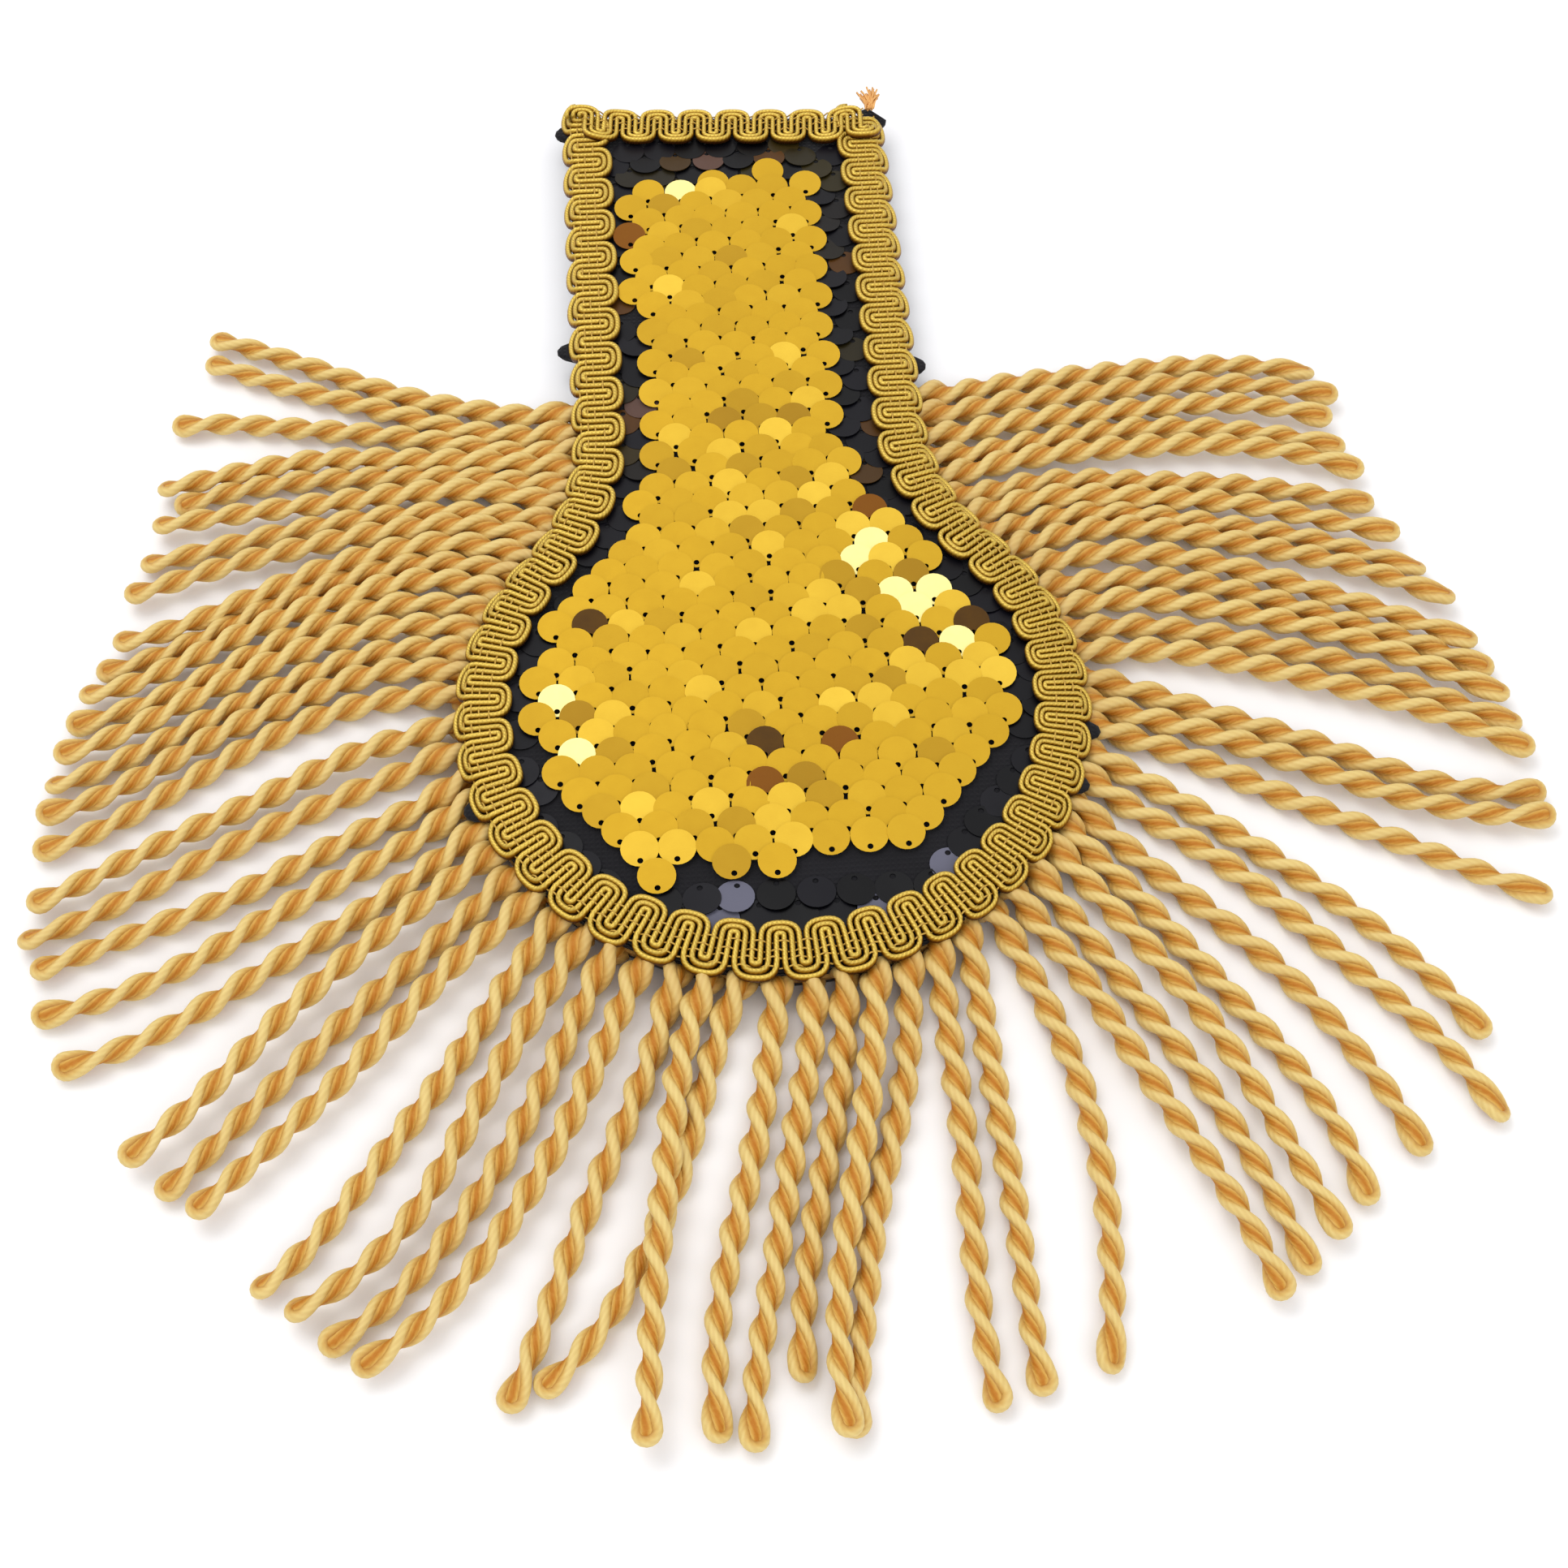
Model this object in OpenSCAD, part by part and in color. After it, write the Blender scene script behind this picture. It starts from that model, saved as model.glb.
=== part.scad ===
// Bullion epaulette: a keyhole-shaped board under sequined cloth, edged with looped gold braid
// and hung round its pad with a fringe of thick twisted strands. It lies on its felt back.
// Millimetres. The origin is the centre of the round pad, on the face that rests on the table.
// +Y points to the strap's end and +Z up. Angles are measured from +X, anticlockwise.

/* [Board] */
// Radius of the round pad
pad_r = 45.4; // [40:0.2:54]
// Width of the straight strap
strap_w = 54.8; // [46:0.2:62]
// Length from the pad's centre to the strap's end
strap_l = 125.5; // [105:0.5:150]
// Radius of the hollow curve between strap and pad
neck_r = 38; // [28:1:48]
// How much further the strap's left corner reaches than its right one
end_skew = 4; // [0:0.5:8]
// Thickness of the board's plate
plate_t = 1; // [0.8:0.1:2]

/* [Cloth] */
// Thickness of the felt on the underside
felt_t = 1.2; // [1:0.1:2]
// Thickness of the black cloth over the board
cloth_t = 1; // [0.8:0.1:1.6]
// Gap between two pieces that are sewn together
seam = 0.2; // [0.15:0.05:0.3]
// How far the board and its cloth stay inside the braid's outer loops
edge_in = 1.6; // [1:0.1:2.4]

/* [Fringe] */
// Length of a strand from the pad's edge to its looped end
fringe_l = 65; // [45:0.5:80]
// Thickness of a twisted strand
strand_d = 4; // [3.4:0.1:4.6]
// How far the fringe runs up each straight side of the strap
fringe_run = 9.5; // [4:0.5:20]
// Width of the woven tape that the strands hang from
tape_w = 8.5; // [6:0.5:12]
// Thickness of that tape
tape_t = 1.6; // [1.4:0.1:2.4]

/* [Braid] */
// Width of the braid over its loops
braid_w = 8.4; // [7:0.2:10]
// Thickness of the braid
braid_t = 1.6; // [1.2:0.1:2.4]
// Distance from one loop to the next along an edge
loop_pitch = 6.7; // [5.5:0.05:7.5]
// How far the braid's lapped end reaches past the strap's end
lap_out = 1.6; // [0.5:0.1:3]
// Length of the frayed threads beyond the lapped end
fray_l = 2.6; // [1:0.1:4]

/* [Sequins] */
// Diameter of a sequin
sequin_d = 5; // [4:0.1:5.2]
// Thickness of a sequin
sequin_t = 0.35; // [0.3:0.05:0.5]
// Tilt of a sequin out of the cloth
sequin_tilt = 9; // [8:1:18]
// Distance between sequins in a row
sequin_pitch = 5.25; // [5.25:0.05:6]
// Distance between rows
row_pitch = 3.225; // [3:0.025:4]
// How far the columns are moved to the right of the middle
column_shift = 1; // [-2.5:0.1:2.5]
// How far the rows are moved up from the pad's middle
row_shift = 2.5; // [0:0.1:3.2]
// Thickness of the thread ground under the gold sequins
ground_t = 0.4; // [0.3:0.1:0.8]
// Black cloth left between the braid and the gold field's ground
gold_margin = 2.6; // [2:0.1:5]
// Black cloth left between the braid and the gold sequins at the strap's end
end_margin = 9; // [6:0.5:14]
// How far the gold field's ground reaches below the pad's middle
gold_low = 27.1; // [26:0.1:30]
// How far the gold field sits left of the strap's middle
gold_shift = 1.7; // [0:0.1:3]

/* [Hidden] */

// Largest angle between two points of a round stretch
arc_step = 4;
half_w = strap_w / 2;
neck_x = half_w + neck_r;
neck_a = acos(neck_x / (pad_r + neck_r));
neck_y = (pad_r + neck_r) * sin(neck_a);

// Heights of the layers, from the table up
lower_z = felt_t + seam;
plate_z = lower_z + tape_t + seam;
cloth_z = plate_z + plate_t + seam;
braid_z = cloth_z + cloth_t + seam;
ground_z = braid_z;

// How far each layer stays inside the edge
felt_in = edge_in + 0.4;
tape_in = edge_in;
step_in = tape_in + tape_w + 2 * seam;
root_in = tape_in + 0.4;
gold_in = braid_w + gold_margin;
sequin_r = sequin_d / 2;
fringe_top = neck_y + fringe_run;

// The fringe falls in locks. Each row is one lock, from the left of the neck round the pad to
// the right: its strands, the share of a strand's room on the edge that each takes, the headings
// of its first and last strand, their lengths as shares of fringe_l, the sideways bows of their
// first and last part as shares of their length, and the share of a strand's thickness by which
// its first, third and every further second strand ride up on their neighbours.
LOCKS = [
    // strands, room, heading, to, length, to, bow, bow, ride
    [2, 0.90, 160.0, 161.5, 0.98, 0.98,  0.02, -0.01, 0.0],
    [1, 0.90, 171.0, 171.0, 1.01, 1.01, -0.01, -0.10, 0.0],
    [2, 0.90, 179.5, 178.5, 1.01, 0.96, -0.05, -0.11, 0.2],
    [3, 0.90, 178.5, 183.5, 0.99, 0.99, -0.09,  0.00, 0.2],
    [8, 0.90, 188.0, 198.5, 0.98, 0.99, -0.13,  0.09, 0.2],
    [2, 1.08, 203.0, 203.5, 1.01, 1.03,  0.02,  0.06, 0.2],
    [1, 1.08, 204.5, 204.5, 1.01, 1.01,  0.09,  0.06, 0.0],
    [2, 1.08, 206.5, 210.0, 1.03, 1.03,  0.04,  0.11, 0.0],
    [3, 1.08, 222.0, 225.0, 1.02, 0.98, -0.01,  0.03, 0.4],
    [1, 1.08, 232.0, 232.0, 1.01, 1.01,  0.00,  0.11, 0.0],
    [3, 1.08, 233.5, 235.0, 1.01, 1.03, -0.02,  0.18, 0.3],
    [1, 1.08, 248.0, 248.0, 0.99, 0.99,  0.01,  0.01, 0.0],
    [1, 1.08, 260.0, 260.0, 1.01, 1.01, -0.06,  0.00, 0.6],
    [1, 1.08, 242.5, 242.5, 0.96, 0.96, -0.10,  0.14, 0.0],
    [2, 1.08, 259.5, 260.0, 0.98, 1.00, -0.01, -0.08, 0.0],
    [1, 1.08, 260.0, 260.0, 0.88, 0.88, -0.05, -0.06, 0.0],
    [2, 1.08, 262.0, 259.5, 1.01, 1.03, -0.08, -0.11, 0.5],
    [2, 1.08, 271.0, 272.5, 1.01, 1.02, -0.10, -0.07, 0.0],
    [1, 1.08, 276.0, 276.0, 1.03, 1.03, -0.03,  0.07, 0.0],
    [3, 1.08, 293.0, 295.5, 1.04, 1.05, -0.08,  0.02, 0.3],
    [2, 1.00, 297.5, 303.5, 1.05, 1.07, -0.13,  0.08, 0.0],
    [2, 1.00, 310.0, 314.0, 1.16, 1.06, -0.08,  0.04, 0.0],
    [1, 1.00, 332.0, 332.0, 1.07, 1.07, -0.03, -0.07, 0.0],
    [2, 1.00, 339.5, 339.5, 1.06, 1.06, -0.05, -0.14, 0.2],
    [5, 1.00, 341.5, 345.0, 1.05, 1.06,  0.02,  0.02, 0.2],
    [4, 1.00, 349.5, 356.5, 1.06, 1.03,  0.02,  0.02, 0.2],
    [3, 1.00, 357.5, 359.5, 1.04, 1.02,  0.03,  0.13, 0.2],
    [2, 1.00, 360.0, 361.0, 1.05, 1.01,  0.05,  0.11, 0.2],
];
STRANDS = 0;
ROOM = 1;
HEADING = 2;
LENGTH = 4;
BOW = 6;
RIDE = 8;
// Share of a strand's length over which it keeps the direction of its root or its end
handle = 0.28;
// Share of its turn that a strand still makes beyond its heading at the end
end_turn = 0.3;
// Share of a strand's length over which it climbs onto its neighbours
climb_share = 0.3;
// Share of a strand's length over which its direction is taken, to either side
way_share = 0.01;
strand_sides = 6;
// Stations along a strand: the share of its length, and the share of its full radius. Its end
// is a rounded loop, a little thicker than the strand.
STATIONS = [
    // along, thickness
    [0.065, 1.00],
    [0.240, 1.00],
    [0.420, 1.00],
    [0.600, 1.00],
    [0.780, 1.00],
    [0.945, 1.00],
    [0.975, 1.10],
    [1.000, 0.60],
];
// Thickness of a weft thread, the least length of tape
thread_t = 0.1;
// Radius of a strand where it is sewn into the tape
root_r = tape_t / 2 - thread_t;

// Frayed threads of the braid's end: their number, spacing, and half the angle between two
fray_n = 6;
fray_pitch = 0.9;
fray_spread = 5;
lap_t = braid_t / 2;

function rad(a) = a * PI / 180;
function along(a) = [cos(a), sin(a)];
function total(v, i = 0) = i < len(v) ? v[i] + total(v, i + 1) : 0;
function clamp(v) = min(1, max(0, v));
function tail(v) = [for (k = [1 : len(v) - 1]) v[k]];

// The strap's end is cut aslant: this moves a point of the square-ended shape to its place.
function skewed(p) =
    [p.x, p.y - p.x / strap_w * end_skew * clamp((p.y - neck_y) / (strap_l - neck_y))];

function arc(centre, r, from, to) =
    let (n = ceil(abs(to - from) / arc_step))
    [for (k = [0 : n]) centre + r * along(from + (to - from) * k / n)];

// The edge is measured from the middle of the strap's end, round the left side to the bottom
// of the pad. These are the lengths of its stretches at the inset d: half the end, the straight
// side, the neck and half the pad.
function stretches(d) =
    [half_w - d, strap_l - d - neck_y, (neck_r + d) * rad(neck_a), (pad_r - d) * rad(90 + neck_a)];

function left_edge(s, d) =
    let (m = stretches(d))
    s < m[0] ? [-s, strap_l - d, 90]
    : s < m[0] + m[1] ? [d - half_w, strap_l - d - (s - m[0]), 180]
    : s < m[0] + m[1] + m[2]
        ? let (a = (s - m[0] - m[1]) / m[2] * neck_a, p = (neck_r + d) * along(-a))
          [p.x - neck_x, p.y + neck_y, 180 - a]
    : let (a = 180 - neck_a + (s - m[0] - m[1] - m[2]) / m[3] * (90 + neck_a),
           p = (pad_r - d) * along(a))
      [p.x, p.y, a];

// A point of the whole edge at the length s and the inset d, with the heading that faces out
function edge(s, d) =
    let (half = total(stretches(d)), e = s < half ? left_edge(s, d) : left_edge(2 * half - s, d),
         p = skewed([s < half ? e[0] : -e[0], e[1]]))
    [p.x, p.y, s < half ? e[2] : 180 - e[2]];

// Left half of the outline at the inset d, from the height top down to the bottom of the pad
function half_outline(d, top) = concat(
    [[d - half_w, top]],
    arc([-neck_x, neck_y], neck_r + d, 0, -neck_a),
    tail(arc([0, 0], pad_r - d, 180 - neck_a, 270)));

function skewed_all(points) = [for (p = points) skewed(p)];

// Both halves in one list, from the left top round the pad to the right top
function whole(left) = concat(left, [for (k = [len(left) - 2 : -1 : 0]) [-left[k].x, left[k].y]]);

module outline(d) {
    polygon(skewed_all(whole(half_outline(d, strap_l - d))));
}

// Whether a point lies inside the outline at the inset d
function inside(p, d) =
    p.y < (pad_r - d) * sin(neck_a) ? norm(p) < pad_r - d
    : p.y < neck_y ? abs(p.x) < neck_x - sqrt(pow(neck_r + d, 2) - pow(neck_y - p.y, 2))
    : abs(p.x) < half_w - d && p.y + p.x / strap_w * end_skew < strap_l - d;

module backing_felt() {
    color("#1d1c20") linear_extrude(felt_t) outline(felt_in);
}

// The plate, and under it the step that fills the space inside the fringe's tape
module board() {
    color("#2a2620") {
        translate([0, 0, plate_z]) linear_extrude(plate_t) outline(edge_in);
        translate([0, 0, lower_z]) linear_extrude(plate_z - lower_z + plate_t / 2) {
            outline(step_in);
            intersection() {
                outline(edge_in);
                translate([-strap_w, fringe_top + 2 * seam]) square([2 * strap_w, strap_l]);
            }
        }
    }
}

module sequin_cloth() {
    color("#17161b") {
        translate([0, 0, cloth_z]) linear_extrude(cloth_t) outline(edge_in);
        scales(BLACK_SPOTS, -1, cloth_z + cloth_t);
    }
}

// The gold field stops short of the strap's end and sits a little to the left on the strap.
// Below the pad's middle it narrows to a flat lower edge.
gold_top = strap_l - braid_w - end_margin;
low_room = 6.6;
low_reach = pad_r - gold_in + low_room;
low_slope = 0.82;
low_left = 1.6;
slant = norm([1, low_slope]);
function shifted(p, way) = [p.x + way * gold_shift * clamp(p.y / neck_y), p.y];
function low_half(y) = low_reach + low_slope * y;

module gold_outline() {
    intersection() {
        polygon([for (p = skewed_all(whole(half_outline(gold_in, gold_top)))) shifted(p, -1)]);
        polygon([[-low_reach - low_left, strap_l], [-low_reach - low_left, 0],
                 [-low_half(-gold_low) - low_left, -gold_low], [low_half(-gold_low) - low_left, -gold_low],
                 [low_reach - low_left, 0], [low_reach - low_left, strap_l]]);
    }
}

function in_gold(p, d) =
    inside(shifted(p, 1), gold_in + d)
    && p.y > d - gold_low && abs(p.x + low_left) < low_half(min(p.y, 0)) - d * slant;

// Where the sequins are sewn down: rows in brick order over the whole board. On the strap the
// columns move to the right.
row_n = ceil(strap_l / row_pitch);
col_n = ceil(pad_r / sequin_pitch);
strap_shift = 1.1;
function spots() = [
    for (j = [-row_n : row_n], k = [-col_n : col_n])
        let (y = j * row_pitch + row_shift)
        [(k + (j % 2 == 0 ? 0.5 : 0)) * sequin_pitch + column_shift
            + strap_shift * clamp((y - neck_y / 2) / neck_y), y]];

// Gold sequins stand up from their spots towards the strap's end, clear of the braid.
sewn_in = 0.5;
GOLD_SPOTS = [
    for (p = spots())
        if (in_gold(p, sewn_in) && p.y + sequin_r < gold_top
            && inside(p + [0, sequin_r], braid_w + sequin_r + seam)) p];

// Black sequins hang from their spots, clear of the gold ones, their ground and the braid.
function clear_of_gold(c) =
    !in_gold(c, -sequin_r - seam)
    && len([for (q = GOLD_SPOTS) if (norm(c - q - [0, sequin_r]) < sequin_d + seam) q]) == 0;
BLACK_SPOTS = [
    for (p = spots())
        let (c = p - [0, sequin_r])
        if (p.y < 0 && inside(c, braid_w + sequin_r + seam) && clear_of_gold(c)) p];

// Sequins that are sewn down at one edge and lean out at the other, towards +Y or -Y
module scales(places, way, z) {
    sunk = sequin_t / 2;
    for (p = places)
        translate([p.x, p.y, z - sunk])
            rotate([way * sequin_tilt, 0, 0])
                translate([0, way * sequin_r, 0])
                    cylinder(r = sequin_r, h = sequin_t, $fn = 32);
}

module gold_sequins() {
    color("#d9ab2c") {
        translate([0, 0, ground_z]) linear_extrude(ground_t) gold_outline();
        scales(GOLD_SPOTS, 1, ground_z + ground_t);
    }
}

strand_n = total([for (lock = LOCKS) lock[STRANDS]]);
root_start = half_w + strap_l - fringe_top;
root_span = 2 * (total(stretches(0)) - root_start);

// The room on the edge that each strand takes
ROOMS = [for (lock = LOCKS, k = [1 : lock[STRANDS]]) lock[ROOM]];
function room_before(i) = total([for (k = [0 : 1 : i - 1]) ROOMS[k]]);

// The edge at a share of the fringe's span, moved inwards by d
function fringe_edge(share, d) =
    let (e = edge(root_start + share * root_span, 0))
    [e[0] - d * cos(e[2]), e[1] - d * sin(e[2]), e[2]];

// A weft thread of the heading tape, square across it
module weft(i) {
    e = fringe_edge(i / strand_n, tape_in);
    translate([e[0], e[1]])
        rotate(e[2])
            translate([-tape_w, 0])
                square([tape_w, thread_t]);
}

// Heading tape of the fringe: a band inside the edge, open towards the strap's end
module tape() {
    for (i = [0 : strand_n - 1])
        hull() {
            weft(i);
            weft(i + 1);
        }
}

function lock_of(i, j = 0) = i < LOCKS[j][STRANDS] ? j : lock_of(i - LOCKS[j][STRANDS], j + 1);
function place_in_lock(i, j = 0) =
    i < LOCKS[j][STRANDS] ? i : place_in_lock(i - LOCKS[j][STRANDS], j + 1);

// The four control points of a strand's curve in plan: its root, the end of the stretch that
// leaves the edge squarely, the start of its last stretch, and its tip
function controls(i) =
    let (lock = LOCKS[lock_of(i)], k = place_in_lock(i),
         share = lock[STRANDS] > 1 ? k / (lock[STRANDS] - 1) : 0,
         root = fringe_edge((room_before(i) + ROOMS[i] / 2) / total(ROOMS), root_in),
         p = [root[0], root[1]], out = root[2],
         heading = lock[HEADING] + (lock[HEADING + 1] - lock[HEADING]) * share,
         size = (lock[LENGTH] + (lock[LENGTH + 1] - lock[LENGTH]) * share) * fringe_l,
         turn = (heading - out + 540) % 360 - 180,
         tip = p + size * along(heading),
         bow = size * along(heading + 90))
    [p, p + handle * size * along(out) + lock[BOW] * bow,
     tip - handle * size * along(heading + end_turn * turn) + lock[BOW + 1] * bow, tip];

function bezier(c, t) =
    pow(1 - t, 3) * c[0] + 3 * pow(1 - t, 2) * t * c[1] + 3 * (1 - t) * t * t * c[2]
    + pow(t, 3) * c[3];

// A ring of a strand: its centre, its direction in plan and its radius. The first ring is
// sewn into the tape, and the others lie on the table or ride on their neighbours.
function strand_ring(i, t, thickness) =
    let (c = controls(i), p = bezier(c, t),
         way = bezier(c, t + way_share) - bezier(c, t - way_share),
         ride = (1 - place_in_lock(i) % 2) * LOCKS[lock_of(i)][RIDE] * strand_d,
         z = t == 0 ? lower_z + tape_t / 2 : strand_d / 2 + ride * clamp(t / climb_share))
    [[p.x, p.y, z], way / norm(way), thickness * strand_d / 2];

// A ring stands on a corner. It is widened so that its upright sides are strand_d apart.
flat = cos(180 / strand_sides);
function ring_points(ring) = [
    for (k = [0 : strand_sides - 1])
        let (a = 360 * k / strand_sides - 90)
        ring[0] + ring[2] * [-ring[1].y * cos(a) / flat, ring[1].x * cos(a) / flat, sin(a)]];

module strand(i) {
    n = strand_sides;
    rings = concat([strand_ring(i, 0, 2 * root_r / strand_d)],
        [for (row = STATIONS) strand_ring(i, row[0], row[1])]);
    last = len(rings) - 1;
    polyhedron(
        points = [for (r = rings) each ring_points(r)],
        faces = concat(
            [[for (k = [0 : n - 1]) k]],
            [for (j = [0 : last - 1], k = [0 : n - 1])
                [j * n + k, (j + 1) * n + k, (j + 1) * n + (k + 1) % n, j * n + (k + 1) % n]],
            [[for (k = [n - 1 : -1 : 0]) last * n + k]]));
}

module bullion_fringe() {
    color("#d9b36a") {
        translate([0, 0, lower_z]) linear_extrude(tape_t) tape();
        for (i = [0 : strand_n - 1])
            strand(i);
    }
}

// Middle line of the braid, the whole number of loops along each of its edges, and their size
braid_mid = braid_w / 2;
braid_l = 2 * total(stretches(braid_mid));
loop_n = round(braid_l / loop_pitch);
loop_r = loop_pitch / 2;

// Centre of a loop: side is 1 for the outer edge and -1 for the inner one
function loop_centre(k, side) =
    let (e = edge((k + (side > 0 ? 0 : 0.5)) * braid_l / loop_n, braid_mid))
    [e[0], e[1]] + side * (braid_mid - loop_r) * along(e[2]);

module gimp_braid() {
    color("#c9a338") translate([0, 0, braid_z]) linear_extrude(braid_t) {
        difference() {
            outline(braid_mid - loop_r / 2);
            outline(braid_mid + loop_r / 2);
        }
        for (k = [0 : loop_n - 1], side = [-1, 1])
            translate(loop_centre(k, side)) circle(r = loop_r, $fn = 32);
    }
}

// The last two loops of the braid, lapped over the corner, and the frayed threads of its end
module braid_end() {
    corner = skewed([half_w - braid_mid, strap_l]);
    color("#c99443") translate([corner.x, corner.y + lap_out, braid_z + braid_t + seam]) {
        linear_extrude(lap_t) {
            for (side = [-1, 1])
                translate([side * (braid_mid - loop_r), (side - 3) / 2 * loop_r])
                    circle(r = loop_r, $fn = 32);
            for (k = [0 : fray_n - 1])
                translate([(k - (fray_n - 1) / 2) * fray_pitch, -loop_r / 2])
                    rotate((fray_n - 1 - 2 * k) * fray_spread)
                        polygon([[-fray_pitch / 2, 0], [fray_pitch / 2, 0],
                                 [fray_pitch / 6, loop_r / 2 + fray_l],
                                 [-fray_pitch / 6, loop_r / 2 + fray_l]]);
        }
    }
}

backing_felt();
board();
bullion_fringe();
sequin_cloth();
gold_sequins();
gimp_braid();
braid_end();
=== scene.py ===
import math
import random

import bpy
import numpy as np
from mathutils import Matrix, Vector


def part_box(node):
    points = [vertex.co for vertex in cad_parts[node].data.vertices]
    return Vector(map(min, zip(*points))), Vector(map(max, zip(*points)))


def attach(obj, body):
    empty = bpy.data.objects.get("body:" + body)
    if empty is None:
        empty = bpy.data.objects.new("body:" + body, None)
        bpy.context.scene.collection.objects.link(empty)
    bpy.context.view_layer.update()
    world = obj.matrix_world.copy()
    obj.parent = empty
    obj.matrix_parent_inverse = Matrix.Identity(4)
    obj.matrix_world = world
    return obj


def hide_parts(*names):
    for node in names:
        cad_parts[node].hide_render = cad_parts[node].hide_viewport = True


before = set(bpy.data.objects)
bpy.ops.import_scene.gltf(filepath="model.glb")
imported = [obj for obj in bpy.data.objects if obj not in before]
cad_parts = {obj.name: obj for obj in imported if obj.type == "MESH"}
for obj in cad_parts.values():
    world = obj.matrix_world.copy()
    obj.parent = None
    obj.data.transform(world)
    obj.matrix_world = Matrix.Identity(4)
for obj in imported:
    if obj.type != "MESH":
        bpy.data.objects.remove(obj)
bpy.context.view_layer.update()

# Everything is worked out in millimetres and goes into the meshes in metres.
MM = 0.001
RNG = random.Random(11)


def height(node):
    """Lowest and highest z of a node of the frame, in millimetres."""
    low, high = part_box(node)
    return low.z / MM, high.z / MM


# The board's outline, as in the part's source
PAD_R = 45.4
STRAP_W = 54.8
STRAP_L = 125.5
NECK_R = 38.0
END_SKEW = 4.0
HALF_W = STRAP_W / 2
NECK_X = HALF_W + NECK_R
NECK_A = math.acos(NECK_X / (PAD_R + NECK_R))
NECK_DEG = math.degrees(NECK_A)
NECK_Y = (PAD_R + NECK_R) * math.sin(NECK_A)
EDGE_IN = 1.6
FELT_IN = 2.0

# The gap between one layer and the next, and the layers' heights, from the frame
GAP = 0.2
FELT_Z = height("backing_felt")
BRAID_Z = height("gimp_braid")
CLOTH_Z = (height("board")[1] + GAP, BRAID_Z[0] - GAP)

# The fringe
FRINGE_L = 65.0
STRAND_D = 4.0
FRINGE_RUN = 9.5
TAPE_IN = 1.6
TAPE_W = 8.5
TAPE_T = 1.6
TAPE_Z = (FELT_Z[1] + GAP, FELT_Z[1] + GAP + TAPE_T)
# How far the tape's outer edge is bevelled
TAPE_SOFT = 0.3
ROOT_IN = 2.0
HANDLE = 0.28
END_TURN = 0.3
CLIMB_SHARE = 0.3
LOCKS = [
    # strands, room, heading, to, length, to, bow, bow, ride
    (2, 0.90, 160.0, 161.5, 0.98, 0.98,  0.02, -0.01, 0.0),
    (1, 0.90, 171.0, 171.0, 1.01, 1.01, -0.01, -0.10, 0.0),
    (2, 0.90, 179.5, 178.5, 1.01, 0.96, -0.05, -0.11, 0.2),
    (3, 0.90, 178.5, 183.5, 0.99, 0.99, -0.09,  0.00, 0.2),
    (8, 0.90, 188.0, 198.5, 0.98, 0.99, -0.13,  0.09, 0.2),
    (2, 1.08, 203.0, 203.5, 1.01, 1.03,  0.02,  0.06, 0.2),
    (1, 1.08, 204.5, 204.5, 1.01, 1.01,  0.09,  0.06, 0.0),
    (2, 1.08, 206.5, 210.0, 1.03, 1.03,  0.04,  0.11, 0.0),
    (3, 1.08, 222.0, 225.0, 1.02, 0.98, -0.01,  0.03, 0.4),
    (1, 1.08, 232.0, 232.0, 1.01, 1.01,  0.00,  0.11, 0.0),
    (3, 1.08, 233.5, 235.0, 1.01, 1.03, -0.02,  0.18, 0.3),
    (1, 1.08, 248.0, 248.0, 0.99, 0.99,  0.01,  0.01, 0.0),
    (1, 1.08, 260.0, 260.0, 1.01, 1.01, -0.06,  0.00, 0.6),
    (1, 1.08, 242.5, 242.5, 0.96, 0.96, -0.10,  0.14, 0.0),
    (2, 1.08, 259.5, 260.0, 0.98, 1.00, -0.01, -0.08, 0.0),
    (1, 1.08, 260.0, 260.0, 0.88, 0.88, -0.05, -0.06, 0.0),
    (2, 1.08, 262.0, 259.5, 1.01, 1.03, -0.08, -0.11, 0.5),
    (2, 1.08, 271.0, 272.5, 1.01, 1.02, -0.10, -0.07, 0.0),
    (1, 1.08, 276.0, 276.0, 1.03, 1.03, -0.03,  0.07, 0.0),
    (3, 1.08, 293.0, 295.5, 1.04, 1.05, -0.08,  0.02, 0.3),
    (2, 1.00, 297.5, 303.5, 1.05, 1.07, -0.13,  0.08, 0.0),
    (2, 1.00, 310.0, 314.0, 1.16, 1.06, -0.08,  0.04, 0.0),
    (1, 1.00, 332.0, 332.0, 1.07, 1.07, -0.03, -0.07, 0.0),
    (2, 1.00, 339.5, 339.5, 1.06, 1.06, -0.05, -0.14, 0.2),
    (5, 1.00, 341.5, 345.0, 1.05, 1.06,  0.02,  0.02, 0.2),
    (4, 1.00, 349.5, 356.5, 1.06, 1.03,  0.02,  0.02, 0.2),
    (3, 1.00, 357.5, 359.5, 1.04, 1.02,  0.03,  0.13, 0.2),
    (2, 1.00, 360.0, 361.0, 1.05, 1.01,  0.05,  0.11, 0.2),
]
STRAND_N = sum(lock[0] for lock in LOCKS)
ROOMS = np.array([lock[1] for lock in LOCKS for _ in range(lock[0])])

# A strand is a cord folded in half and twisted on itself. Two thin pale plies run round a fuller
# core, and join in a loop at the end.
PLY_R = 0.8
PLY_SPREAD = 1.2
CORE_R = 1.05
TWIST = 11.6
LOOP_R = 1.4
LOOP_PLY = 0.95
LOOP_RUN = 4.0
# A strand's thickness at its root and its tip, as a share of that in between
ROOT_THICK = 1.14
TIP_THICK = 0.84
# The meshes of a strand: the step along it, and the sides of its plies and core
STRAND_STEP = 0.62
PLY_SIDES = 10
CORE_SIDES = 10
# How far a strand rises where it comes out from under the braid, and the lengths over which it
# goes up and comes down
ROOT_RISE = 1.3
RISE_RUN = 2
FALL_RUN = 7
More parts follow.
